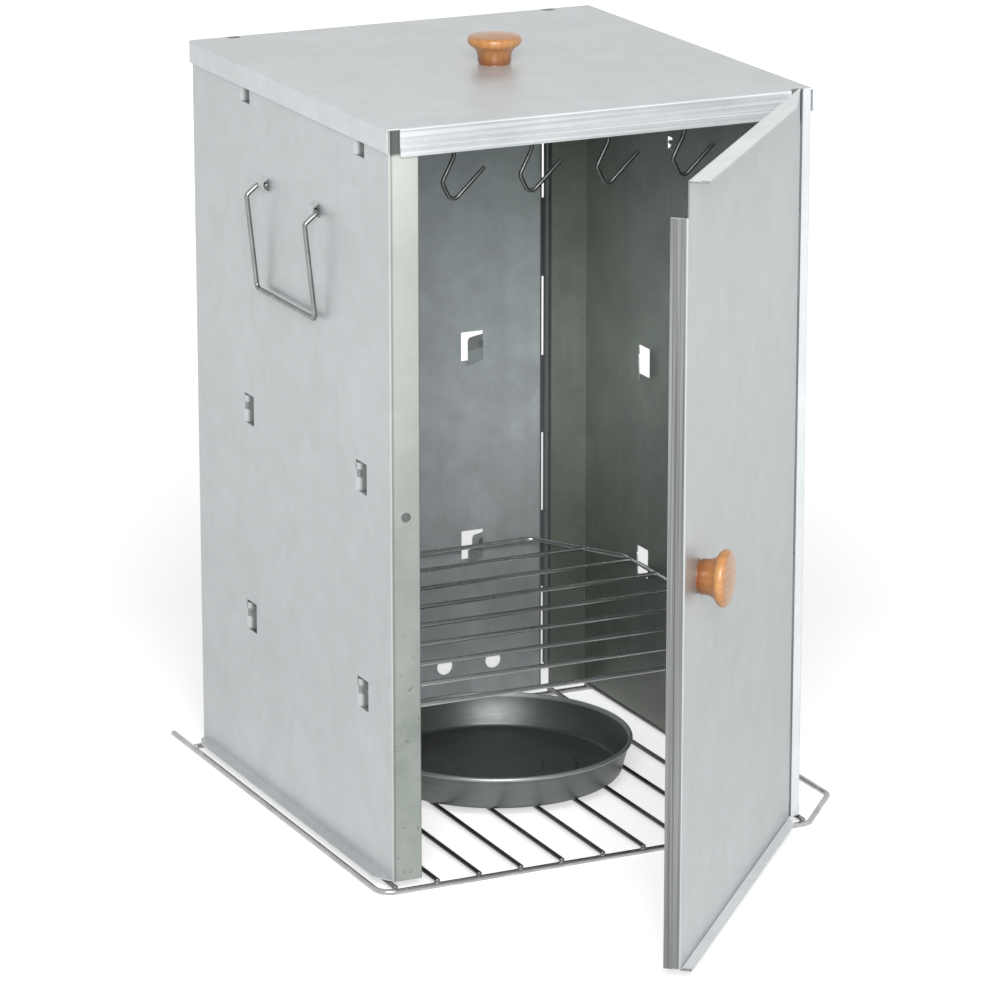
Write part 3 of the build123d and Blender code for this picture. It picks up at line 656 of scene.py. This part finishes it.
def bent_route(points, radii, closed=False, steps=8):
    """The route through the points with each corner rounded to its radius."""
    points = [Vector(point) for point in points]
    count = len(points)
    route = []
    for index, corner in enumerate(points):
        radius = radii[index] if isinstance(radii, (list, tuple)) else radii
        if not closed and index in (0, count - 1) or radius == 0:
            route.append(corner)
            continue
        back = (points[index - 1] - corner).normalized()
        ahead = (points[(index + 1) % count] - corner).normalized()
        half = back.angle(ahead) / 2
        if half > math.radians(89):
            route.append(corner)
            continue
        centre = corner + (back + ahead).normalized() * (radius / math.sin(half))
        reach = radius / math.tan(half)
        start, end = corner + back * reach - centre, corner + ahead * reach - centre
        axis = start.cross(end).normalized()
        angle = start.angle(end)
        for step in range(steps + 1):
            route.append(centre + Matrix.Rotation(angle * step / steps, 3, axis) @ start)
    return route


def add_piece(name, maker, finish, body, replaced=(), smooth=40.0, place=Matrix()):
    """Turn the mesh in the making into a piece: its finish, its body and the CAD nodes that it stands for."""
    bmesh.ops.recalc_face_normals(maker, faces=maker.faces)
    mesh = bpy.data.meshes.new(name)
    maker.to_mesh(mesh)
    maker.free()
    for polygon in mesh.polygons:
        polygon.use_smooth = True
    mesh.set_sharp_from_angle(angle=math.radians(smooth))
    mesh.materials.append(finish)
    piece = bpy.data.objects.new(name, mesh)
    piece.matrix_world = place
    bpy.context.collection.objects.link(piece)
    if replaced:
        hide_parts(*replaced)
    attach(piece, body)


def tube(maker, route, radius, closed=False, sides=14):
    """Add a wire along the route to the mesh in the making, with rounded ends where it is open.

    Each ring of a tip has its distance from the wire's end and its radius, both against the wire's radius.
    """
    route = [Vector(point) for point in route]
    count = len(route)
    if not closed:
        first = (route[1] - route[0]).normalized()
        last = (route[-1] - route[-2]).normalized()
        tips = ((0.0, 0.55), (0.12, 0.80), (0.32, 0.95))
        route = (
            [route[0] + first * radius * reach for reach, _ in tips]
            + [route[0] + first * radius * 0.6] + route[1:-1] + [route[-1] - last * radius * 0.6]
            + [route[-1] - last * radius * reach for reach, _ in reversed(tips)]
        )
        sizes = [size for _, size in tips] + [1.0] * count + [size for _, size in reversed(tips)]
    else:
        sizes = [1.0] * count
    count = len(route)
    ahead = [
        ((route[(i + 1) % count] if closed or i < count - 1 else route[i])
         - (route[i - 1] if closed or i > 0 else route[i])).normalized()
        for i in range(count)
    ]
    side = ahead[0].orthogonal().normalized()
    rings = []
    for index in range(count):
        if index:
            side = (ahead[index - 1].rotation_difference(ahead[index]) @ side)
            side = (side - ahead[index] * side.dot(ahead[index])).normalized()
        other = ahead[index].cross(side)
        turns = [math.tau * step / sides for step in range(sides)]
        rings.append([
            maker.verts.new(
                route[index] + (side * math.cos(turn) + other * math.sin(turn)) * radius * sizes[index]
            )
            for turn in turns
        ])
    shift = 0
    if closed:
        final = (ahead[-1].rotation_difference(ahead[0]) @ side).normalized()
        start = (rings[0][0].co - route[0]).normalized()
        twist = math.atan2(final.cross(start).dot(ahead[0]), final.dot(start))
        shift = round(twist / math.tau * sides) % sides
    for index in range(count if closed else count - 1):
        now, then = rings[index], rings[(index + 1) % count]
        offset = shift if closed and index == count - 1 else 0
        for step in range(sides):
            maker.faces.new((
                now[step], now[(step + 1) % sides],
                then[(step + 1 - offset) % sides], then[(step - offset) % sides],
            ))
    if not closed:
        maker.faces.new(reversed(rings[0]))
        maker.faces.new(rings[-1])


def bead(maker, place, size, seed):
    """Add a small uneven weld bead to the mesh in the making."""
    made = bmesh.ops.create_icosphere(maker, subdivisions=2, radius=1.0)
    for vertex in made["verts"]:
        x, y, z = vertex.co
        lump = 1 + 0.16 * math.sin(3.1 * x + seed) * math.cos(2.7 * y + 1.7 * seed)
        lump += 0.08 * math.sin(5 * z + seed)
        vertex.co = Vector(place) + Vector((x * size[0], y * size[1], z * size[2])) * lump


def lathe(profile, sides=96):
    """A mesh in the making, turned round Z from (radius, height) points."""
    maker = bmesh.new()
    turns = [math.tau * step / sides for step in range(sides)]
    columns = []
    for radius, height in profile:
        if radius < 1e-6:
            columns.append([maker.verts.new((0, 0, height))])
        else:
            columns.append([
                maker.verts.new((radius * math.cos(turn), radius * math.sin(turn), height)) for turn in turns
            ])
    for low, high in zip(columns, columns[1:]):
        for step in range(sides):
            after = (step + 1) % sides
            if len(low) == 1:
                maker.faces.new((low[0], high[step], high[after]))
            elif len(high) == 1:
                maker.faces.new((low[step], low[after], high[0]))
            else:
                maker.faces.new((low[step], low[after], high[after], high[step]))
    return maker


def add_crest(maker, foot, ahead, through, length, tongue):
    """Add the upper part of a tongue, a plate with a rounded free corner, to the mesh in the making."""
    rise = tongue.crest - tongue.foot
    turns = [math.radians(90 * step / 5) for step in range(6)]
    outline = [(tongue.root_gap, 0), (length, 0)] + [
        (length - tongue.corner * (1 - math.cos(turn)), rise - tongue.corner * (1 - math.sin(turn)))
        for turn in turns
    ] + [(tongue.root_gap, rise)]
    backs = [maker.verts.new(foot + ahead * x + Vector((0, 0, z))) for x, z in outline]
    fronts = [maker.verts.new(vertex.co + through) for vertex in backs]
    maker.faces.new(backs)
    maker.faces.new(reversed(fronts))
    for index in range(len(backs)):
        after = (index + 1) % len(backs)
        maker.faces.new((backs[after], backs[index], fronts[index], fronts[after]))


def dress(names, material):
    """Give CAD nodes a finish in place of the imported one."""
    for name in names:
        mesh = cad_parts[name].data
        mesh.materials.clear()
        mesh.materials.append(material)


# Operators


class SMOKER_OT_sheets(bpy.types.Operator):
    """Give the walls, the door and the lid their galvanised finish"""

    bl_idname = "smoker.sheets"
    bl_label = "Finish sheet metal"

    def execute(self, context):
        settings = context.scene.smoker_sheet
        angle = context.scene.smoker_knob.door_angle
        rim = (-math.cos(angle), -math.sin(angle), 0)
        inner_light, hinge_shade_and_stain = settings.inner_light, settings.hinge_shade_and_stain
        # The tone factors are partly painted light: the hinge wall's 1.22 lights its front flange, the lid's
        # 1.14 lights its top and the door's 0.90 darkens it
        dress(("left_wall",), sheet_finish("Galvanised Post Wall", 0.98, inner_light, post_wear_and_shade))
        dress(("back_wall",), sheet_finish("Galvanised Wall", 1.0, inner_light))
        dress(("right_wall",), sheet_finish("Galvanised Hinge Wall", 1.22, hinge_shade_and_stain))
        dress(("lid_panel",), sheet_finish("Galvanised Lid", 1.14, inner_light, rolled_streaks_and_sheen, shade_recesses=False))
        dress(("door_panel",), sheet_finish("Galvanised Door", 0.90, rim=rim, shade_recesses=False))
        return {"FINISHED"}


class SMOKER_OT_tongues(bpy.types.Operator):
    """Raise the upper parts of the tongues that carry the shelf"""

    bl_idname = "smoker.tongues"
    bl_label = "Raise tongues"

    def execute(self, context):
        tongue = context.scene.smoker_tongue
        base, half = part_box("left_wall")[0].z, tongue.width / 2
        rows = ((tongue.lower_row, tongue.side_share, tongue.back_share), (tongue.middle_row, 1.0, 1.0))
        maker = bmesh.new()
        for height, side_share, back_share in rows:
            places = [
                ((side * HALF_WIDTH, column + half), (0, -1), (-side, 0), side_share)
                for side in (-1, 1) for column in SIDE_COLUMNS
            ]
            places += [((column + half, HALF_DEPTH), (-1, 0), (0, -1), back_share) for column in BACK_COLUMNS]
            for root, along, inward, share in places:
                along, inward = Vector((*along, 0)), Vector((*inward, 0))
                ahead = along * math.cos(tongue.angle) + inward * math.sin(tongue.angle)
                face = inward * math.cos(tongue.angle) - along * math.sin(tongue.angle)
                foot = Vector((*root, base + height + tongue.foot))
                add_crest(maker, foot, ahead, face * tongue.sheet, tongue.width * share, tongue)
        # The tongues take the same painted shade in their slots
        finish = sheet_finish("Galvanised Tongue", 0.95)
        add_piece("tongue_crests", maker, finish, "housing", (), 30.0)
        return {"FINISHED"}


class SMOKER_OT_fasteners(bpy.types.Operator):
    """Give the hinge pins, studs and nuts their steel finish"""

    bl_idname = "smoker.fasteners"
    bl_label = "Finish pins and fasteners"

    def execute(self, context):
        dress(HINGE_PINS, wire_finish("Hinge Pin Steel"))
        dress(FASTENERS, wire_finish("Zinc Fastener"))
        return {"FINISHED"}


class SMOKER_OT_rack(bpy.types.Operator):
    """Bend the rack's ring, lay its bars across and weld them"""

    bl_idname = "smoker.rack"
    bl_label = "Bend and weld rack"

    def execute(self, context):
        bend = context.scene.smoker_bend
        low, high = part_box("rack_ring")
        bars_low, bars_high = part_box("rack_bars")
        ring, bar = bend.ring_wire / 2, bend.wire / 2
        left, grip = low.x + ring, high.x - ring
        front = low.y + ring
        rear = -front - 5 * MM
        right = grip - 36.5 * MM
        slant, bow = 41 * MM, 8 * MM
        maker = bmesh.new()
        tube(maker, bent_route(
            [
                (left, high.y, ring), (left, front, ring), (right, front, ring), (grip, front + slant, ring),
                (grip, rear - slant, ring), (right, rear, ring), (left + ring, rear, ring),
            ],
            [0, bend.corner, bow, bow, bow, bow, 0],
        ), ring)
        add_piece("rack_ring_bent", maker, wire_finish("Bright Wire"), "rack", ("rack_ring",))
        maker, welds = bmesh.new(), bmesh.new()
        weld = (bend.weld, bend.weld * 1.15, 0.9 * MM)
        top = bend.ring_wire + bar
        for number in range(RACK_BARS):
            x = bars_low.x + bar + (bars_high.x - bars_low.x - bend.wire) * number / (RACK_BARS - 1)
            tube(maker, [(x, bars_low.y, top), (x, bars_high.y, top)], bar)
            for place, y in enumerate((front, rear)):
                bead(welds, (x, y, bend.ring_wire), weld, number + 0.5 * place)
        # Painted reflection: the bars take a darker wire
        add_piece("rack_bars_drawn", maker, wire_finish("Rack Bar Shaded Wire"), "rack", ("rack_bars",))
        add_piece("rack_welds", welds, wire_finish("Weld Bead"), "rack", smooth=60.0)
        return {"FINISHED"}


class SMOKER_OT_shelf(bpy.types.Operator):
    """Bend the shelf's ring and weld its cross wires"""

    bl_idname = "smoker.shelf"
    bl_label = "Bend and weld shelf"

    def execute(self, context):
        bend = context.scene.smoker_bend
        low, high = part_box("shelf_frame")
        radius = bend.wire / 2
        x, front, rear, z = high.x - radius, low.y + radius, high.y - radius, (low.z + high.z) / 2
        cut_width, cut_depth, corner = 38 * MM, 62 * MM, 9 * MM
        maker = bmesh.new()
        tube(maker, bent_route(
            [
                (x, front, z), (x, rear - cut_depth, z), (x - cut_width, rear, z),
                (cut_width - x, rear, z), (-x, rear - cut_depth, z), (-x, front, z),
            ],
            corner, closed=True,
        ), radius, closed=True)
        finish = wire_finish("Bright Wire")
        add_piece("shelf_ring_bent", maker, finish, "shelf", ("shelf_frame",))
        maker, welds = bmesh.new(), bmesh.new()
        weld = (bend.weld * 0.8, bend.weld * 1.25, 1.1 * MM)
        pitch = (rear - front) / (SHELF_BARS + 1)
        for number in range(1, SHELF_BARS + 1):
            y = front + number * pitch
            inset = cut_width * max(0.0, 1 - (rear - y) / cut_depth)
            end = x - inset - 0.6 * radius
            tube(maker, [(-end, y, z), (end, y, z)], radius)
            for side in (-1, 1):
                bead(welds, (side * (x - inset - radius), y, z), weld, number + side)
        add_piece("shelf_bars_drawn", maker, finish, "shelf", ("shelf_bars",))
        add_piece("shelf_welds", welds, wire_finish("Weld Bead"), "shelf", smooth=60.0)
        return {"FINISHED"}


class SMOKER_OT_hooks(bpy.types.Operator):
    """Draw the hanging rods and bend the hooks"""

    bl_idname = "smoker.hooks"
    bl_label = "Bend rods and hooks"

    def execute(self, context):
        bend = context.scene.smoker_bend
        # Painted shade: the rods and hooks inside the box take the darker wire
        finish = wire_finish("Shaded Wire")
        rod, wire = bend.wire / 2, bend.hook_wire / 2
        for name in ("front_rod", "rear_rod"):
            low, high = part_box(name)
            y, z = (low.y + high.y) / 2, (low.z + high.z) / 2
            maker = bmesh.new()
            tube(maker, [(low.x, y, z), (high.x, y, z)], rod, sides=20)
            add_piece(f"{name}_drawn", maker, finish, name, (name,))
        low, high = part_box("front_rod")
        y, z = (low.y + high.y) / 2, (low.z + high.z) / 2
        reach = rod + 0.3 * MM + wire
        neck, foot = z - 4 * MM, z - HOOK_DROP
        for number in range(1, 5):
            name = f"hook_{number}"
            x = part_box(name)[1].x - HOOK_REACH
            maker = bmesh.new()
            tube(maker, bent_route(
                [
                    (x, y + reach, neck), (x, y + reach, z + reach), (x, y - reach, z + reach),
                    (x, y - reach, neck), (x, y, foot + 25 * MM), (x - 7.6 * MM, y, foot + 10.5 * MM),
                    (x - 1.1 * MM, y, foot - 2.2 * MM), (x + 20 * MM, y, foot + 17.6 * MM),
                ],
                [0] + [2.6 * MM] * 2 + [4 * MM] * 4 + [0],
            ), wire)
            add_piece(f"{name}_bent", maker, finish, name, (name,))
        return {"FINISHED"}


class SMOKER_OT_handles(bpy.types.Operator):
    """Bend the two carrying handles"""

    bl_idname = "smoker.handles"
    bl_label = "Bend handles"

    def execute(self, context):
        bend = context.scene.smoker_bend
        radius = bend.wire / 2
        tail, fall = 11 * MM, 7 * MM
        for name, side in (("left_handle", -1), ("right_handle", 1)):
            low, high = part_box(name)
            rear, front = high.y - radius, low.y + radius
            pivot_z, bar_z = high.z - radius, low.z + radius
            pivot, bar, shoulder = side * 138.7 * MM, side * 141.5 * MM, side * 147.7 * MM
            maker = bmesh.new()
            tube(maker, bent_route(
                [
                    (pivot, rear - tail, pivot_z), (pivot, rear, pivot_z), (shoulder, rear, pivot_z - fall),
                    (bar, rear, bar_z), (bar, front, bar_z), (shoulder, front, pivot_z - fall),
                    (pivot, front, pivot_z), (pivot, front + tail, pivot_z),
                ],
                bend.handle_bend,
            ), radius)
            add_piece(f"{name}_bent", maker, wire_finish("Handle Wire"), name, (name,))
        return {"FINISHED"}


class SMOKER_OT_knobs(bpy.types.Operator):
    """Turn the two knobs"""

    bl_idname = "smoker.knobs"
    bl_label = "Turn knobs"

    def execute(self, context):
        knob = context.scene.smoker_knob
        finish = wood_finish()
        base, cap, height = knob.base_radius / MM, knob.cap_radius / MM, knob.height / MM
        profile = [(0, 0), (base - 1.0, 0), (base - 1.0, 0.8), (base - 0.4, 1.0), (base, 1.5), (base, 4.4)]
        profile += arc_points((base + 0.1, 5.6), (base + 1.2, 8.4), (cap - 1.9, 11.2), 8)
        profile += arc_points((cap - 1.3, 11.8), (cap, 14.4), (cap - 1.0, 16.9), 10)
        profile += arc_points((cap - 1.25, 17.15), (cap * 0.55, height - 0.5), (0.001, height), 12)
        profile[-1] = (0, height)
        profile = [(radius * MM, z * MM) for radius, z in profile]
        angle = knob.door_angle
        along = Vector((-math.cos(angle), -math.sin(angle), 0))
        outward = Vector((math.sin(angle), -math.cos(angle), 0))
        up = Vector((0, 0, 1))
        low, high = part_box("lid_knob")
        lid_place = Matrix.Translation(((low.x + high.x) / 2, (low.y + high.y) / 2, low.z))
        axis = Vector((knob.door_axis_x, knob.door_axis_y, knob.door_knob_z))
        turn = Matrix((up, outward.cross(up), outward)).transposed().to_4x4()
        door_place = Matrix.Translation(axis + along * knob.door_reach + outward * knob.door_face) @ turn
        for body, place in (("lid", lid_place), ("door", door_place)):
            name = f"{body}_knob"
            add_piece(f"{name}_turned", lathe(profile), finish, body, (name,), 50.0, place)
        return {"FINISHED"}


class SMOKER_OT_pan(bpy.types.Operator):
    """Spin the drip pan"""

    bl_idname = "smoker.pan"
    bl_label = "Spin drip pan"

    def execute(self, context):
        low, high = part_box("drip_pan")
        # Radii of the raised disc, the step round it, the foot and the lip, and the rim's overhang
        disc, step, base, lip, rim = 29.4, 50.0, 79.0, 84.5, 1.5
        outer = bent_route(
            [
                (0, 1.5, 0), (disc, 1.5, 0), (disc + 0.8, 1.1, 0), (step, 1.1, 0), (step + 1.6, 0, 0),
                (base, 0, 0), (lip - 0.3, 20.2, 0),
            ],
            [0, 0.8, 0.8, 0.8, 0.9, 4.0, 0],
        )
        curl = arc_points((lip - 0.3, 19.7), (lip + rim, 21.2), (lip - 0.9, 22.2), 14)
        inner = bent_route(
            [
                (lip - 1.1, 21.0, 0), (base - 0.9, 1.0, 0), (step + 2.0, 1.0, 0), (step + 0.4, 2.5, 0),
                (disc + 1.2, 2.1, 0), (disc - 0.4, 2.5, 0), (0, 2.5, 0),
            ],
            [0, 3.2, 0.9, 0.9, 0.8, 0.8, 0],
        )
        profile = [(p.x, p.y) for p in outer[:-1]] + curl + [(p.x, p.y) for p in inner[1:]]
        maker = lathe([(radius * MM, height * MM) for radius, height in profile], 128)
        maker.transform(Matrix.Translation(((low.x + high.x) / 2, (low.y + high.y) / 2, low.z)))
        add_piece("drip_pan_spun", maker, pan_finish(low.z), "pan", ("drip_pan",), 50.0)
        return {"FINISHED"}


def seen_directly(tree):
    """One for camera, glossy and transmission rays, and nought for the others."""
    paths = tree.nodes.new("ShaderNodeLightPath").outputs
    mirrored = math_node(tree, "MAXIMUM", paths["Is Glossy Ray"], paths["Is Transmission Ray"])
    return math_node(tree, "MAXIMUM", paths["Is Camera Ray"], mirrored)


def floor_finish(settings):
    """Pale floor that meets the white background and keeps the smoker's shadow."""
    material, tree, shader = new_material("Studio Floor")
    shader.inputs["Base Color"].default_value = rgba(settings.floor_colour)
    shader.inputs["Roughness"].default_value = 0.9
    shader.inputs["Specular IOR Level"].default_value = 0.0
    distance = vector_node(tree, "LENGTH", surface(tree)[0])["Value"]
    strength = remap(tree, distance, 0.45, 1.3, 0.60, 1.0)
    glow = tree.nodes.new("ShaderNodeEmission")
    glow.inputs["Color"].default_value = WHITE
    both = tree.nodes.new("ShaderNodeAddShader")
    output = tree.nodes["Material Output"]
    link(
        tree, (times(tree, seen_directly(tree), strength), glow.inputs["Strength"]),
        (shader.outputs[0], both.inputs[0]), (glow.outputs[0], both.inputs[1]),
        (both.outputs[0], output.inputs["Surface"]),
    )
    return material


def studio_world(settings):
    """White for the camera and for reflections, a soft sky for the light."""
    world = bpy.data.worlds.new("Studio World")
    world.use_nodes = True
    tree = world.node_tree
    tree.nodes.clear()
    output = tree.nodes.new("ShaderNodeOutputWorld")
    background = tree.nodes.new("ShaderNodeBackground")
    background.inputs["Color"].default_value = WHITE
    link(
        tree, (remap(tree, seen_directly(tree), 0.0, 1.0, settings.sky, 1.0), background.inputs["Strength"]),
        (background.outputs[0], output.inputs["Surface"]),
    )
    bpy.context.scene.world = world


def area_lamp(name, place, size, power):
    """A square soft lamp that faces the smoker."""
    data = bpy.data.lights.new(name, "AREA")
    data.shape = "SQUARE"
    data.size = size
    data.energy = power
    lamp = bpy.data.objects.new(name, data)
    bpy.context.collection.objects.link(lamp)
    lamp.location = place
    lamp.rotation_euler = (Vector(LAMP_AIM) - Vector(place)).to_track_quat("-Z", "Y").to_euler()


class SMOKER_OT_stage(bpy.types.Operator):
    """Set up the floor, the lamps, the background and the camera"""

    bl_idname = "smoker.stage"
    bl_label = "Set up studio"

    def execute(self, context):
        settings = context.scene.smoker_stage
        mesh = bpy.data.meshes.new("studio_floor")
        corners = [(x * FLOOR_REACH, y * FLOOR_REACH, 0) for x, y in ((-1, -1), (1, -1), (1, 1), (-1, 1))]
        mesh.from_pydata(corners, [], [(0, 1, 2, 3)])
        floor = bpy.data.objects.new("studio_floor", mesh)
        context.collection.objects.link(floor)
        mesh.materials.append(floor_finish(settings))
        studio_world(settings)
        area_lamp("key_lamp", *KEY_LAMP, settings.key_power)
        area_lamp("fill_lamp", *FILL_LAMP, settings.fill_power)
        azimuth, elevation = settings.azimuth, settings.elevation
        level = math.cos(elevation)
        back = Vector((math.sin(azimuth) * level, -math.cos(azimuth) * level, math.sin(elevation)))
        right = Vector((math.cos(azimuth), math.sin(azimuth), 0))
        turn = Matrix((right, back.cross(right), back)).transposed().to_4x4()
        data = bpy.data.cameras.new("photo_camera")
        data.sensor_width = 36.0
        data.lens = settings.lens
        data.clip_end = 50.0
        camera = bpy.data.objects.new("photo_camera", data)
        context.collection.objects.link(camera)
        camera.matrix_world = Matrix.Translation(CAMERA_PLACE) @ turn
        context.scene.camera = camera
        context.scene.view_settings.view_transform = "Standard"
        return {"FINISHED"}


class SMOKER_PT_panel(bpy.types.Panel):
    """Buttons of the smoker's makers"""

    bl_label = "Folding Smoker"
    bl_idname = "SMOKER_PT_panel"
    bl_space_type = "VIEW_3D"
    bl_region_type = "UI"
    bl_category = "Smoker"

    def draw(self, context):
        for operator in OPERATORS:
            self.layout.operator(operator.bl_idname)


SETTINGS = (
    ("smoker_sheet", SheetSettings),
    ("smoker_wire", WireSettings),
    ("smoker_wood", WoodSettings),
    ("smoker_pan", PanSettings),
    ("smoker_knob", KnobSettings),
    ("smoker_bend", BendSettings),
    ("smoker_tongue", TongueSettings),
    ("smoker_stage", StageSettings),
)
OPERATORS = (
    SMOKER_OT_sheets, SMOKER_OT_tongues, SMOKER_OT_fasteners, SMOKER_OT_rack, SMOKER_OT_shelf,
    SMOKER_OT_hooks, SMOKER_OT_handles, SMOKER_OT_knobs, SMOKER_OT_pan, SMOKER_OT_stage,
)


def register():
    for name, group in SETTINGS:
        bpy.utils.register_class(group)
        setattr(bpy.types.Scene, name, PointerProperty(type=group))
    for made in (*OPERATORS, SMOKER_PT_panel):
        bpy.utils.register_class(made)


def unregister():
    for made in (SMOKER_PT_panel, *reversed(OPERATORS)):
        bpy.utils.unregister_class(made)
    for name, group in reversed(SETTINGS):
        delattr(bpy.types.Scene, name)
        bpy.utils.unregister_class(group)


def main():
    register()
    bpy.ops.smoker.sheets()
    bpy.ops.smoker.tongues()
    bpy.ops.smoker.fasteners()
    bpy.ops.smoker.rack()
    bpy.ops.smoker.shelf()
    bpy.ops.smoker.hooks()
    bpy.ops.smoker.handles()
    bpy.ops.smoker.knobs()
    bpy.ops.smoker.pan()
    bpy.ops.smoker.stage()


if __name__ == "__main__":
    main()
